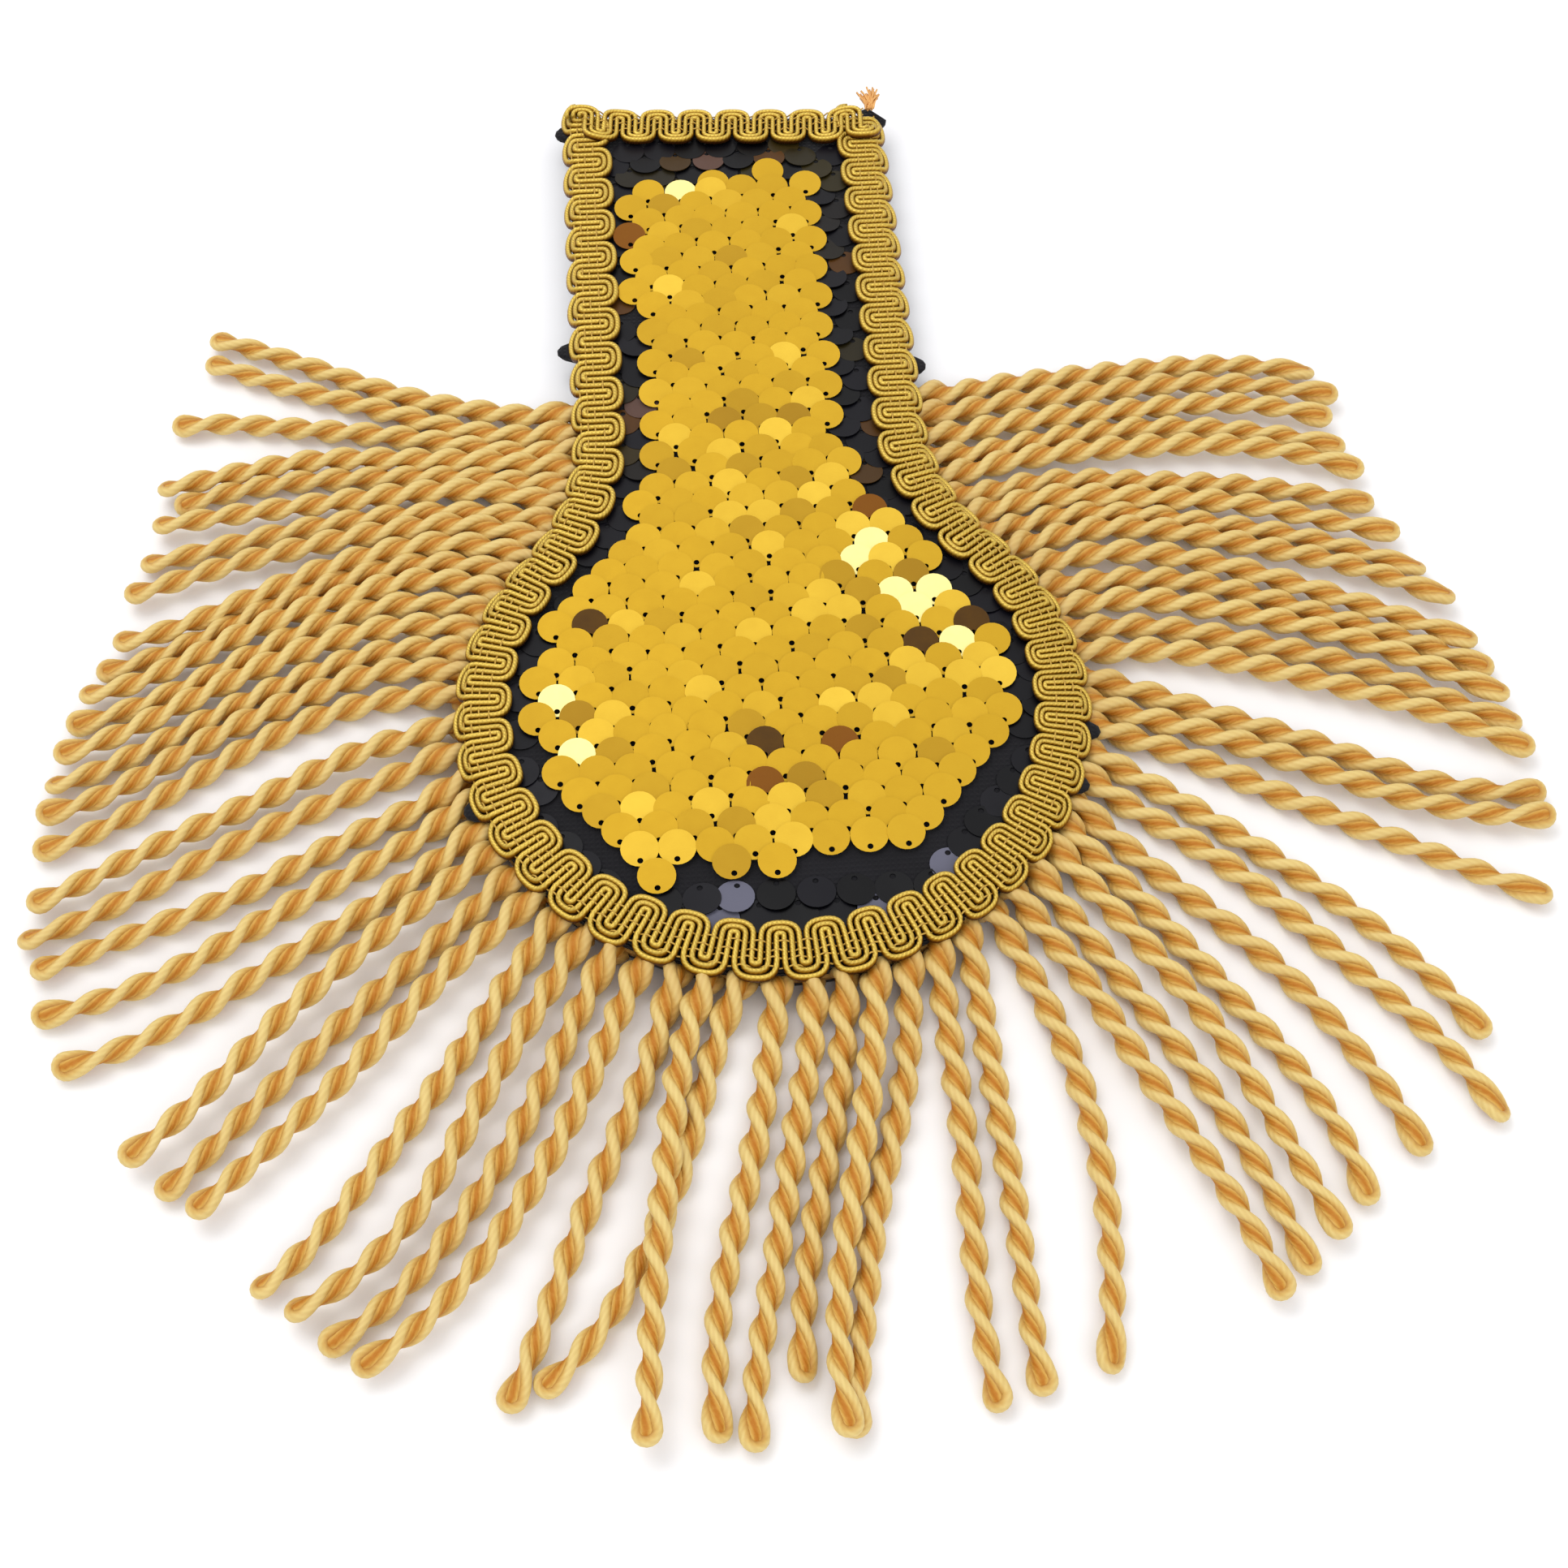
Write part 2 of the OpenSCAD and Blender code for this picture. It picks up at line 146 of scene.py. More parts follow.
# Share of its length over which a strand leaves the tape, and its height over the table
LEAVE_SHARE = 0.05
TABLE_GAP = 0.02
# Length at its root where a strand is thickest, and the length over which it then thins
THICK_RUN = 3
THIN_RUN = 6
# How far a strand sways, the length of its wave for each radian, least and most, and the length
# from its root after which it sways in full
SWAY = 0.3
SWAY_WAVE = (5, 9)
SWAY_START = 15
# The twist's pitch, least and most, as a share of TWIST, and how far a loop's plane tips
TWIST_VARY = (0.95, 1.05)
LOOP_TIP = 32
# The core's last rings, inside the loop: how far past the axis, as a share of the loop's half
# width, and how thick, as a share of the core
CORE_REACH = (0.45, 0.85, 1.1)
CORE_CLOSE = (0.85, 0.5, 0.1)
# A strand's tone: the most that chance adds, the painted shade that its root adds where it
# comes out from under the braid, and over what length
STRAND_TONE = 0.2
ROOT_SHADE = 0.5
ROOT_SHADE_RUN = 8
# The strands' plies are made in two pieces, and the second starts at this strand
SECOND_PIECE = 32

# The braid: three cords side by side that wind to and fro between its edges
BRAID_W = 8.4
BRAID_MID = BRAID_W / 2
LOOP_PITCH = 6.7
# Share of the long run, and the distance from loop to loop there
PITCHES = [(0.0, 7.4), (0.16, 7.4), (0.24, 6.7), (0.48, 6.5), (0.56, 5.9), (0.68, 5.9), (0.74, 6.6),
           (0.84, 7.0), (1.0, 7.0)]
CORDS = 3
# Share of its room that a cord of the braid fills
CORD_FILL = 0.84
# Half the height of a cord, its sides, and the thickness of a warp thread as a radius
CORD_HIGH = 0.72
CORD_SIDES = 8
WARP_R = 0.13
# Its turns: their depth as a share of their width, and how square they are, 1 being round
TURN_FLAT = 0.72
TURN_SQUARE = 0.8
# Places of the warp threads across the braid
WARPS = (-1.0, 0.4, 1.5, 2.6)
# The run across the strap's end: how far in from the edge it lies, its width as a share of the
# side runs', and where its first turn is
END_IN = 1.0
END_WIDTH = 0.92
END_START = 3.6
# How far the braid hangs over the board's edge, and from where across it this starts
DRAPE = 1.4
DRAPE_FROM = 1.8
DRAPE_RUN = 2.2
# How far the long run goes past the straight side at both its ends
RUN_OVER = 1.2
# How far the end's run rises over the corners, where it starts to come down, and over what length
CORNER_RISE = 1.15
CORNER_FROM = 3
CORNER_RUN = 8.0
# How far the cords rise and fall across the braid, a warp thread's height over them, and its wave
CORD_WAVE = 0.12
WARP_OVER = 0.25
WARP_WAVE = 0.5

# Sequins: their radius in the part, by which they are laid out, and the discs' own here
SEQUIN_R = 2.5
DISC_R = 2.65
DISC_SIDES = 24
# The hole's radius, and how far in from the disc's edge its middle is
HOLE_R = 0.42
HOLE_IN = 0.85
SEQUIN_T = 0.12
SEQUIN_TILT = 9.0
# Their lattice: from stitch to stitch, from row to row, and how far it is shifted
SEQUIN_PITCH = 5.25
ROW_PITCH = 3.225
COLUMN_SHIFT = 1.0
ROW_SHIFT = 2.5
STRAP_SHIFT = 1.1
# The gold field: how far it lies in from the edge, its shift to the left on the strap, its highest
# y, how far it goes below the pad's middle, and its low sides: their half width at that middle,
# their slope, and their shift to the left
GOLD_IN = BRAID_W + 2.6
GOLD_SHIFT = 1.7
GOLD_TOP = STRAP_L - BRAID_W - 9.0
GOLD_LOW = 27.1
LOW_REACH = PAD_R - GOLD_IN + 6.6
LOW_SLOPE = 0.82
LOW_LEFT = 1.6
# How far inside the field's edge a gold disc's stitch lies, and the stitches' height
SEWN_IN = 0.5
GROUND_Z = BRAID_Z[0] + 0.4
# A black disc is laid where the point this far below its stitch is clear of the braid, or no
# further than this under it. Its stitch is this high over the cloth.
BLACK_DROP = 1.5
BLACK_UNDER = 1.0
BLACK_GAP = 0.05
# How far the edges of the felt and the cloth are rounded
FELT_SOFT = 0.35
CLOTH_SOFT = 0.45
# Points round the cloth's edge
CLOTH_POINTS = 560


def along(degrees):
    a = np.radians(degrees)
    return np.stack([np.cos(a), np.sin(a)], -1)


def smooth(t):
    t = np.clip(t, 0, 1)
    return t * t * (3 - 2 * t)


def skewed(p):
    """The strap's end is cut aslant: moves points of the square-ended shape to their place."""
    p = np.array(p, float)
    share = np.clip((p[..., 1] - NECK_Y) / (STRAP_L - NECK_Y), 0, 1)
    p[..., 1] -= p[..., 0] / STRAP_W * END_SKEW * share
    return p


def stretches(d):
    """Lengths of half the end, the straight side, the neck and half the pad, at the inset d."""
    return (HALF_W - d, STRAP_L - d - NECK_Y, (NECK_R + d) * math.radians(NECK_DEG),
            (PAD_R - d) * math.radians(90 + NECK_DEG))


def left_edge(s, d):
    end, side, neck, pad = stretches(d)
    if s < end:
        return (-s, STRAP_L - d, 90.0)
    if s < end + side:
        return (d - HALF_W, STRAP_L - d - (s - end), 180.0)
    if s < end + side + neck:
        a = (s - end - side) / neck * NECK_DEG
        x, y = (NECK_R + d) * along(-a)
        return (x - NECK_X, y + NECK_Y, 180 - a)
    a = 180 - NECK_DEG + (s - end - side - neck) / pad * (90 + NECK_DEG)
    x, y = (PAD_R - d) * along(a)
    return (x, y, a)


def edge(s, d):
    """A point of the edge at the length s from the strap's end, round the left, at the inset d,
    with the heading that faces out."""
    half = sum(stretches(d))
    x, y, a = left_edge(s if s < half else 2 * half - s, d)
    if s >= half:
        x, a = -x, 180 - a
    x, y = skewed((x, y))
    return x, y, a


def arc(centre, r, start, end, step=4):
    n = math.ceil(abs(end - start) / step)
    return np.array(centre) + r * along(np.linspace(start, end, n + 1))


def outline(d):
    """The board's outline at the inset d, anticlockwise from the left of the strap's end."""
    left = np.vstack([
        [(d - HALF_W, STRAP_L - d)],
        arc((-NECK_X, NECK_Y), NECK_R + d, 0, -NECK_DEG),
        arc((0, 0), PAD_R - d, 180 - NECK_DEG, 270)[1:],
    ])
    return skewed(np.vstack([left, left[-2::-1] * (-1, 1)]))


def inside(p, d):
    x, y = p
    if y < (PAD_R - d) * math.sin(NECK_A):
        return math.hypot(x, y) < PAD_R - d
    if y < NECK_Y:
        return abs(x) < NECK_X - math.sqrt((NECK_R + d) ** 2 - (NECK_Y - y) ** 2)
    return abs(x) < HALF_W - d and y + x / STRAP_W * END_SKEW < STRAP_L - d


class Shape:
    """Gathers the parts of one piece: points in millimetres, faces, a UV for each face corner
    and a tone for each point."""

    def __init__(self):
        self.points, self.faces, self.uv, self.tone, self.count = [], [], [], [], 0

    def add(self, points, faces, uv=None, tone=0.5):
        self.points.append(np.asarray(points, float))
        self.faces.extend([[k + self.count for k in face] for face in faces])
        corners = sum(len(face) for face in faces)
        self.uv.append(np.zeros((corners, 2)) if uv is None else np.asarray(uv, float))
        self.tone.append(np.broadcast_to(np.asarray(tone, float), (len(points),)))
        self.count += len(points)

    def tube(self, path, out, deep, wide, sides, tone=0.5):
        """A tube along path. Its section is an ellipse, deep along out and wide across it. Its
        UV is the share of the way round from out, and the length in millimetres."""
        path = np.asarray(path, float)
        n = len(path)
        way = np.gradient(path, axis=0)
        way /= np.linalg.norm(way, axis=1)[:, None]
        out = np.broadcast_to(np.asarray(out, float), path.shape)
        e1 = out - (out * way).sum(1)[:, None] * way
        e1 /= np.linalg.norm(e1, axis=1)[:, None]
        e2 = np.cross(way, e1)
        turn = 2 * np.pi * np.arange(sides) / sides
        deep, wide = np.broadcast_to(deep, (n,)), np.broadcast_to(wide, (n,))
        ring = (path[:, None]
                + (deep[:, None] * np.cos(turn))[..., None] * e1[:, None]
                + (wide[:, None] * np.sin(turn))[..., None] * e2[:, None])
        length = np.r_[0, np.cumsum(np.linalg.norm(np.diff(path, axis=0), axis=1))]
        j, k = np.meshgrid(np.arange(n - 1), np.arange(sides), indexing="ij")
        j, k = j.ravel(), k.ravel()
        k1 = (k + 1) % sides
        quads = np.stack([j * sides + k, j * sides + k1, (j + 1) * sides + k1, (j + 1) * sides + k], 1)
        u0, u1 = k / sides, (k + 1) / sides
        uv = np.stack([np.stack([u0, length[j]], 1), np.stack([u1, length[j]], 1),
                       np.stack([u1, length[j + 1]], 1), np.stack([u0, length[j + 1]], 1)], 1)
        ends = [list(range(sides))[::-1], list(range((n - 1) * sides, n * sides))]
        end_uv = [(0, length[0])] * sides + [(0, length[-1])] * sides
        if np.ndim(tone):
            tone = np.repeat(tone, sides)
        self.add(ring.reshape(-1, 3), quads.tolist() + ends, np.vstack([uv.reshape(-1, 2), end_uv]), tone)

    def slab(self, rings):
        """Closes rings of equal length, from the underside up, into a slab."""
        n = len(rings[0])
        points = np.vstack(rings)
        faces = []
        for j in range(len(rings) - 1):
            for k in range(n):
                k1 = (k + 1) % n
                faces.append([j * n + k, j * n + k1, (j + 1) * n + k1, (j + 1) * n + k])
        faces += [list(range(n))[::-1], list(range((len(rings) - 1) * n, len(rings) * n))]
        self.add(points, faces)

    def piece(self, name, material, slot, *nodes, sharp=0):
        """Makes the object. It rides on the one body, and stands for the nodes. Edges sharper
        than sharp degrees stay sharp."""
        mesh = bpy.data.meshes.new(name)
        mesh.from_pydata((np.vstack(self.points) * MM).tolist(), [], self.faces)
        layer = mesh.uv_layers.new(name="UVMap")
        layer.data.foreach_set("uv", np.vstack(self.uv).astype(np.float32).ravel())
        tone = mesh.attributes.new("tone", "FLOAT", "POINT")
        tone.data.foreach_set("value", np.concatenate(self.tone).astype(np.float32))
        mesh.polygons.foreach_set("use_smooth", [True] * len(mesh.polygons))
        mesh.materials.append(material)
        mesh.validate()
        if sharp:
            mesh.set_sharp_from_angle(angle=math.radians(sharp))
        obj = bpy.data.objects.new(name, mesh)
        bpy.context.scene.collection.objects.link(obj)
        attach(obj, "root")
        if nodes:
            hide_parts(*nodes)
        return obj


class Paint:
    """A short way to build a material's nodes."""

    def __init__(self, name):
        self.material = bpy.data.materials.new(name)
        self.material.use_nodes = True
        self.tree = self.material.node_tree
        self.shader = self.tree.nodes["Principled BSDF"]

    def node(self, kind, **inputs):
        node = self.tree.nodes.new(kind)
        for name, value in inputs.items():
            if hasattr(node, name) and not name[0].isupper():
                setattr(node, name, value)
            else:
                self.put(node, name.replace("_", " "), value)
        return node

    def put(self, node, name, value):
        socket = node.inputs[int(name) if name.isdigit() else name]
        if isinstance(value, bpy.types.NodeSocket):
            self.tree.links.new(value, socket)
        else:
            socket.default_value = value

    def set(self, **values):
        for name, value in values.items():
            self.put(self.shader, name.replace("_", " "), value)

    def math(self, operation, a, b=0.0, c=0.0):
        node = self.tree.nodes.new("ShaderNodeMath")
        node.operation = operation
        for k, value in enumerate((a, b, c)):
            self.put(node, str(k), value)
        return node.outputs[0]

    def mix(self, share, a, b, blend="MIX"):
        node = self.tree.nodes.new("ShaderNodeMix")
        node.data_type = "RGBA"
        node.blend_type = blend
        node.clamp_factor = True
        for k, value in ((0, share), (6, a), (7, b)):
            self.put(node, str(k), value)
        return node.outputs[2]

    def ramp(self, value, stops):
        node = self.tree.nodes.new("ShaderNodeValToRGB")
        self.put(node, "0", value)
        ramp = node.color_ramp
        while len(ramp.elements) < len(stops):
            ramp.elements.new(0.5)
        for element, (place, colour) in zip(ramp.elements, stops):
            element.position = place
            element.color = colour if isinstance(colour, tuple) else (colour, colour, colour, 1)
        return node.outputs[0]

    def uv(self):
        node = self.node("ShaderNodeSeparateXYZ")
        self.put(node, "0", self.node("ShaderNodeUVMap", uv_map="UVMap").outputs[0])
        return node.outputs[0], node.outputs[1]

    def place(self):
        return self.node("ShaderNodeTexCoord").outputs["Object"]

    def tone(self):
        return self.node("ShaderNodeAttribute", attribute_name="tone").outputs["Fac"]

    def noise(self, scale, detail=2.0, rough=0.5, where=None):
        node = self.tree.nodes.new("ShaderNodeTexNoise")
        self.put(node, "Vector", where or self.place())
        self.put(node, "Scale", scale)
        self.put(node, "Detail", detail)
        self.put(node, "Roughness", rough)
        return node.outputs["Fac"]

    def bump(self, height_value, distance, strength=1.0, under=None):
        node = self.tree.nodes.new("ShaderNodeBump")
        self.put(node, "Strength", strength)
        self.put(node, "Distance", distance)
        self.put(node, "Height", height_value)
        if under is not None:
            self.put(node, "Normal", under)
        return node.outputs[0]


def rgb(red, green, blue):
    """A colour of the screen, 0 to 255, as the linear colour that a shader takes."""
    def linear(v):
        v /= 255
        return v / 12.92 if v <= 0.04045 else ((v + 0.055) / 1.055) ** 2.4
    return (linear(red), linear(green), linear(blue), 1.0)


def cord_paint(name, colours, stops, filaments, lay, rough, metal=0.0, folds=1):
    """Twisted yarn. UV u is 0 on the outside of the cord and 0.5 on the side that faces its
    neighbours. Between the two its colour goes from pale by middle to deep at the stops, which
    paints light on the outside and shade towards the neighbours. With two folds it is pale at
    u 0 and 0.5, and deep between them."""
    p = Paint(name)
    pale, middle, deep = colours
    u, v = p.uv()
    angle = p.math("MULTIPLY", u, 2 * math.pi * folds)
    painted_shade = p.math("MULTIPLY_ADD", p.math("COSINE", angle), -0.5, 0.5)
    tone = p.tone()
    fine = p.noise(1500.0, 3.0)
    colour = p.ramp(p.math("ADD", painted_shade, p.math("MULTIPLY_ADD", fine, 0.16, -0.08)),
                    list(zip(stops, (pale, middle, deep))))
    # The tone darkens the cord towards deep: at random, and at a strand's root as painted shade.
    colour = p.mix(p.math("MULTIPLY", tone, 0.6), colour, deep)
    # Filaments run round the cord at the lay that they were spun with. The grooves between them
    # are darkened towards deep as painted shade.
    phase = p.math("MULTIPLY", p.math("MULTIPLY_ADD", v, lay, u), 2 * math.pi * filaments)
    ridge = p.math("MULTIPLY_ADD", p.math("SINE", phase), 0.5, 0.5)
    colour = p.mix(p.math("MULTIPLY", p.math("SUBTRACT", 1.0, ridge), 0.16), colour, deep)
    bump = p.bump(ridge, 0.00006, 0.7, p.bump(fine, 0.00004, 0.5))
    p.set(Base_Color=colour, Roughness=rough, Metallic=metal, Normal=bump)
    return p


def ply_paint():
    # The ply is pale on its outside and deep on the side that faces the core and the other ply; the deep
    # orange is partly the yarn's own colour and partly painted shade.
    colours = rgb(220, 194, 122), rgb(208, 170, 90), rgb(172, 116, 38)
    p = cord_paint("bullion_rayon", colours, (0.14, 0.42, 0.8), 5, -0.2, 0.5)
    p.set(Specular_IOR_Level=0.4, Sheen_Weight=0.2, Sheen_Roughness=0.4)
    p.shader.inputs["Sheen Tint"].default_value = rgb(255, 232, 170)
    return p.material


def core_paint():
    # The core is pale where the plies lie on it and deepest in the middle of each face, between the plies;
    # the deep orange is partly the yarn's own colour and partly painted shade of the crease where the plies
    # meet.
    colours = rgb(210, 176, 100), rgb(206, 158, 70), rgb(180, 112, 24)
    p = cord_paint("bullion_core", colours, (0.5, 0.8, 1.0), 12, 0.05, 0.6, folds=2)
    p.set(Specular_IOR_Level=0.3)
    return p.material


def gimp_paint():
    # Each cord is pale on top as a painted highlight, and deep brown on its sides and in the gaps between
    # cords as painted shade.
    colours = rgb(222, 190, 84), rgb(176, 132, 20), rgb(88, 46, 2)
    return cord_paint("gimp_yarn", colours, (0.05, 0.22, 0.5), 3, 0.55, 0.4, 0.6).material


def warp_paint():
    p = Paint("warp_thread")
    p.set(Base_Color=rgb(190, 152, 62), Roughness=0.5, Metallic=0.3,
          Normal=p.bump(p.noise(2500.0), 0.00003, 0.5))
    return p.material


def tape_paint():
    p = Paint("woven_tape")
    x, y, _ = (p.node("ShaderNodeSeparateXYZ", Vector=p.place()).outputs[k] for k in range(3))
    weave = p.math("MULTIPLY", p.math("SINE", p.math("MULTIPLY", x, 9000.0)),
                   p.math("SINE", p.math("MULTIPLY", y, 9000.0)))
    p.set(Base_Color=p.mix(p.noise(300.0), rgb(196, 150, 70), rgb(150, 104, 40)), Roughness=0.7,
          Normal=p.bump(weave, 0.00008, 0.6))
    return p.material


def felt_paint():
    p = Paint("black_felt")
    fibres = p.noise(900.0, 6.0, 0.7)
    p.set(Base_Color=p.mix(fibres, rgb(22, 21, 24), rgb(46, 44, 48)), Roughness=0.95,
          Sheen_Weight=0.3, Specular_IOR_Level=0.15, Normal=p.bump(fibres, 0.0003, 0.6))
    return p.material


def black_cloth_paint(name, pitch):
    """Black knit or weave with that many millimetres from thread to thread."""
    p = Paint(name)
    x, y, z = (p.node("ShaderNodeSeparateXYZ", Vector=p.place()).outputs[k] for k in range(3))
    turns = 2 * math.pi / (pitch * MM)
    warp = p.math("SINE", p.math("MULTIPLY", p.math("ADD", x, z), turns))
    weft = p.math("SINE", p.math("MULTIPLY", p.math("ADD", y, z), turns))
    weave = p.math("MAXIMUM", warp, weft)
    shade = p.mix(p.noise(120.0, 3.0), rgb(12, 12, 15), rgb(26, 25, 30))
    p.set(Base_Color=shade, Roughness=0.85, Sheen_Weight=0.08, Specular_IOR_Level=0.2,
          Normal=p.bump(weave, 0.0001, 0.5))
    return p.material


def gold_sequin_paint():
    """Metallised film. The tone goes from 0, dark, by 0.5, plain gold, to 1, nearly white. Near 1
    the colour is a painted highlight of a disc that catches the light, near 0 painted shade of one
    turned away from it.
    """
    p = Paint("gold_film")
    tone = p.tone()
    colour = p.ramp(tone, [(0.0, rgb(44, 34, 14)), (0.2, rgb(120, 70, 14)), (0.36, rgb(160, 122, 26)),
                           (0.5, rgb(199, 159, 34)), (0.72, rgb(226, 190, 62)), (1.0, rgb(250, 238, 160))])
    wear = p.noise(420.0, 4.0, 0.6)
    colour = p.mix(p.math("MULTIPLY", wear, 0.12), colour, rgb(186, 132, 26))
    dents = p.bump(p.noise(260.0, 1.0), 0.00008, 0.25)
    p.set(Base_Color=colour, Metallic=0.75, Roughness=p.math("MULTIPLY_ADD", wear, 0.1, 0.52),
          Normal=p.bump(p.noise(5000.0, 1.0), 0.00001, 0.2, dents))
    return p.material


def black_sequin_paint():
    p = Paint("black_film")
    tone = p.tone()
    # Tone 1, a pale grey, is a painted glint of a disc that catches the light.
    colour = p.ramp(tone, [(0.0, rgb(2, 2, 4)), (0.5, rgb(13, 12, 20)), (0.7, rgb(44, 37, 12)),
                           (0.85, rgb(84, 50, 14)), (1.0, rgb(96, 96, 112))])
    p.set(Base_Color=colour, Roughness=p.math("MULTIPLY_ADD", p.noise(420.0, 3.0), 0.2, 0.28),
          Specular_IOR_Level=0.2, Normal=p.bump(p.noise(260.0, 1.0), 0.0001, 0.35))
    return p.material


def floor_paint():
    p = Paint("pale_floor")
    p.set(Base_Color=(0.9, 0.9, 0.92, 1), Roughness=0.7, Specular_IOR_Level=0.1)
    return p.material


# Felt, cloth and ground

def rounded(points_at, low, high, soft):
    """Rings of a slab from low to high with its edge rounded by soft. points_at(d) gives the
    outline moved in by d."""
    rings = []
    for share in (0, 0.35, 0.75):
        angle = share * math.pi / 2
        rings.append((soft * (1 - math.sin(angle)), low + soft * (1 - math.cos(angle))))
    rings.append((0, low + soft))
    full = rings + [(d, low + high - z) for d, z in rings[::-1]]
    return [np.column_stack([points_at(d), np.full(len(points_at(d)), z)]) for d, z in full]


# Places where the cloth bulges out from under the braid
BULGES = [
    # x, y, by
    (-26.0, 71.0, 3.5), (26.0, 64.0, 3.0), (44.0, -8.0, 3.2), (-41.5, -15.0, 2.9), (41.5, -17.0, 3.1),
    (-26.0, 122.0, 2.8), (25.0, 121.5, 2.5),
]
BULGE_R = 2.0


def cloth_edge(d):
    points = []
    for s in np.linspace(0, 2 * sum(stretches(d)), CLOTH_POINTS)[:-1]:
        x, y, out = edge(s, d)
        push = 0
        for *at, by in BULGES:
            away = math.dist((x, y), at) / BULGE_R
            push += by * math.sqrt(max(0, 1 - away ** 2))
        points.append(np.array([x, y]) + push * along(out))
    return np.array(points)


def flat_size(points):
    """Width and length of a flat cut, and its area, in metres."""
    x, y = np.asarray(points).T * MM
    area = abs(np.dot(x, np.roll(y, 1)) - np.dot(y, np.roll(x, 1))) / 2
    return (float(np.ptp(x)), float(np.ptp(y))), float(area)


def make_felt():
    shape = Shape()
    shape.slab(rounded(lambda d: outline(FELT_IN + d), *FELT_Z, FELT_SOFT))
    felt = shape.piece("felt_back", felt_paint(), "black_felt", "backing_felt")
    size, area = flat_size(outline(FELT_IN))


def dress_board():
    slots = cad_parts["board"].data.materials
    slots.clear()
    slots.append(black_cloth_paint("board_cover", 0.6))


def make_cloth():
    shape = Shape()
    shape.slab(rounded(lambda d: cloth_edge(EDGE_IN + d), *CLOTH_Z, CLOTH_SOFT))
    paint = black_cloth_paint("black_knit", 0.8)
    cloth = shape.piece("sequin_ground_cloth", paint, "black_sequins", "sequin_cloth")
    size, area = flat_size(cloth_edge(EDGE_IN))


# The sequins

def shifted(p):
    return (p[0] + GOLD_SHIFT * min(1, max(0, p[1] / NECK_Y)), p[1])


def in_gold(p, d):
    low_half = LOW_REACH + LOW_SLOPE * min(p[1], 0) - d * math.hypot(1, LOW_SLOPE)
    return inside(shifted(p), GOLD_IN + d) and p[1] > d - GOLD_LOW and abs(p[0] + LOW_LEFT) < low_half


def spots():
    rows = math.ceil(STRAP_L / ROW_PITCH)
    columns = math.ceil(PAD_R / SEQUIN_PITCH)
    for j in range(-rows, rows + 1):
        y = j * ROW_PITCH + ROW_SHIFT
        shift = COLUMN_SHIFT + STRAP_SHIFT * min(1, max(0, (y - NECK_Y / 2) / NECK_Y))
        for k in range(-columns, columns + 1):
            yield (k + (0.5 if j % 2 == 0 else 0)) * SEQUIN_PITCH + shift, y


def is_gold(p):
    return (in_gold(p, SEWN_IN) and p[1] + SEQUIN_R < GOLD_TOP
            and inside((p[0], p[1] + SEQUIN_R), BRAID_W + SEQUIN_R + GAP))


def disc(shape, spot, base, way, tilt, roll, turn, bend, tone):
    """A sequin that is sewn down at spot and leans out towards +Y or -Y, by way. bend curves it."""
    radii = (HOLE_R, 0.6 * DISC_R, DISC_R)
    hole = DISC_R - HOLE_IN
    points = []
    angle = 2 * np.pi * np.arange(DISC_SIDES) / DISC_SIDES
    for level in (SEQUIN_T, 0.0):
        for r in radii:
            share = (DISC_R - r) / (DISC_R - radii[0])
            x = r * np.cos(angle)
            y = r * np.sin(angle) - hole * share * way
            z = level + bend * ((x / DISC_R) ** 2 - 0.3)
            points.append(np.column_stack([x, y, z]))
    points = np.vstack(points)
    n, rings = DISC_SIDES, len(radii)
    order = [*range(rings), *range(2 * rings - 1, rings - 1, -1), 0]
    faces, uv = [], []
    for a, b in zip(order, order[1:]):
        for k in range(n):
            k1 = (k + 1) % n
            faces.append([a * n + k, b * n + k, b * n + k1, a * n + k1])
            for index in faces[-1]:
                uv.append(points[index][:2] / DISC_R / 2 + 0.5)
    cx, cy, cz = (math.radians(v) for v in (way * tilt, roll, turn))
    points[:, 1] += way * SEQUIN_R
    spin = np.array([[math.cos(cz), -math.sin(cz), 0], [math.sin(cz), math.cos(cz), 0], [0, 0, 1]])
    lean = np.array([[1, 0, 0], [0, math.cos(cx), -math.sin(cx)], [0, math.sin(cx), math.cos(cx)]])
    side = np.array([[math.cos(cy), 0, math.sin(cy)], [0, 1, 0], [-math.sin(cy), 0, math.cos(cy)]])
    points = points @ (spin @ lean @ side).T + (spot[0], spot[1], base)
    shape.add(points, faces, uv, tone)


# Discs that catch the light, or turn away from it: their tone, and the middle of each
ODD_GOLD = {
    1.0: [(-27.7, -8), (-33.5, 3), (-30.4, 1), (-26.8, 9.6), (-22.2, 9.5), (14.8, 23), (24, 17.5),
          (19.7, 16.8), (22.7, 14), (17.2, 27), (27.8, 9.4), (-9.2, 104.3)],
    0.72: [(34.3, -5.7), (9.4, -0.3), (33, 3.3), (-10.7, 6.3), (3.9, 49), (-18, 49), (8.6, 36.5),
           (19.5, 24.5), (14, 30), (-12.2, 81.3), (6.8, 65), (12, 70.8), (-21.3, -16.6), (19, -12.2)],
    0.36: [(2.2, -14.3), (-27.3, -1.2), (22.6, 21), (-3.4, 52.8), (7.4, 52.8), (12.2, 76)],
    0.2: [(7.2, -7.8), (-3, -13.8), (32.6, -8.5), (-2.2, 9.6), (17.6, 33.5), (29.3, 17.7), (-16.9, 94)],
    0.04: [(-2.6, -7.6), (27.6, -7.9), (22.9, 8.7), (37, 2.8), (-22.3, 31.2), (-24.6, 13.5), (29, 13),
           (16.7, 93.6)],
}
# More gold discs beyond the field's even edges: the middle of each
MORE_GOLD = [(-17.9, -28.2), (-6.9, -27.2), (-1.6, -27.2), (-2.3, 107.1), (6.6, 108.9)]
